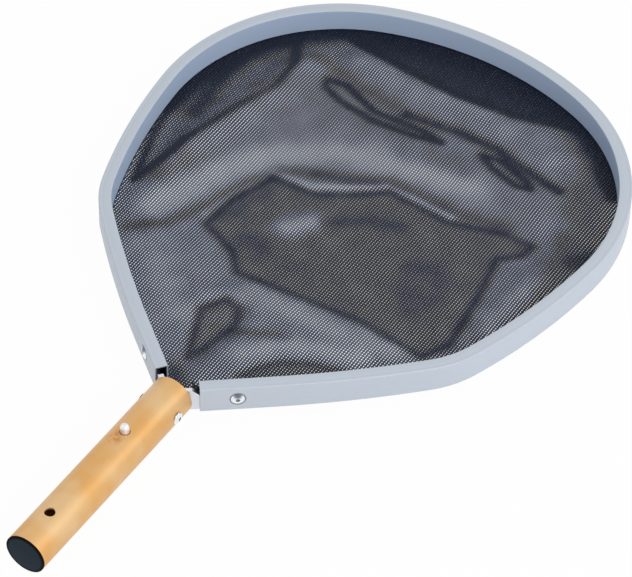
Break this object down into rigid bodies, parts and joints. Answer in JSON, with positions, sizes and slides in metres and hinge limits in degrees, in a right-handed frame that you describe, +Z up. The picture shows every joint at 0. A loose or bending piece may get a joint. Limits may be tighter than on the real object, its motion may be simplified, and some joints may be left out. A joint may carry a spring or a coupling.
{
  "type": "leaf skimmer net",
  "caption": "Flat skimmer net on a bent hollow rim, held by a riveted yoke on a short tube handle whose spring clip with lock buttons plugs into a telescopic pole.",
  "frame": {"origin": "centre of the end cap's outer face, on the handle's axis", "axes": "+Y along the handle from the end cap towards the far side of the rim, +Z up out of the net's open side, +X to the right seen from the handle's end"},
  "size_m": [0.35, 0.5662, 0.0416],
  "materials": {
    "gold_anodised": "satin gold anodised",
    "cap_plastic": "fine grained black",
    "rim_aluminium": "satin blue-grey anodised",
    "net_mesh": "black woven mesh",
    "cord": "matte black",
    "yoke_aluminium": "bright cast",
    "rivet_aluminium": "bright",
    "mandrel_steel": "broken steel stem",
    "spring_steel": "rolled stainless strip",
    "button_steel": "polished"
  },
  "bodies": {
    "skimmer": {"handle_tube": "gold_anodised", "end_cap": "cap_plastic", "rim": "rim_aluminium", "net": "net_mesh", "edge_cord": "cord", "yoke": "yoke_aluminium", "arm_rivets": "rivet_aluminium", "arm_rivet_mandrels": "mandrel_steel", "neck_rivets": "rivet_aluminium", "neck_rivet_mandrels": "mandrel_steel", "clip_spring": "spring_steel"},
    "upper_lock_button": {"upper_button": "button_steel"},
    "lower_lock_button": {"lower_button": "button_steel"}
  },
  "joints": [
    {"name": "upper_button_press", "type": "slide", "parent": "skimmer", "child": "upper_lock_button", "axis": [0, 0, -1], "range_m": [0, 0.0065], "stiffness_N_per_m": 1500, "springref_m": -0.003, "deforming": ["clip_spring"]},
    {"name": "lower_button_press", "type": "slide", "parent": "skimmer", "child": "lower_lock_button", "axis": [0, 0, 1], "range_m": [0, 0.0065], "stiffness_N_per_m": 1500, "springref_m": -0.003, "deforming": ["clip_spring"]}
  ]
}
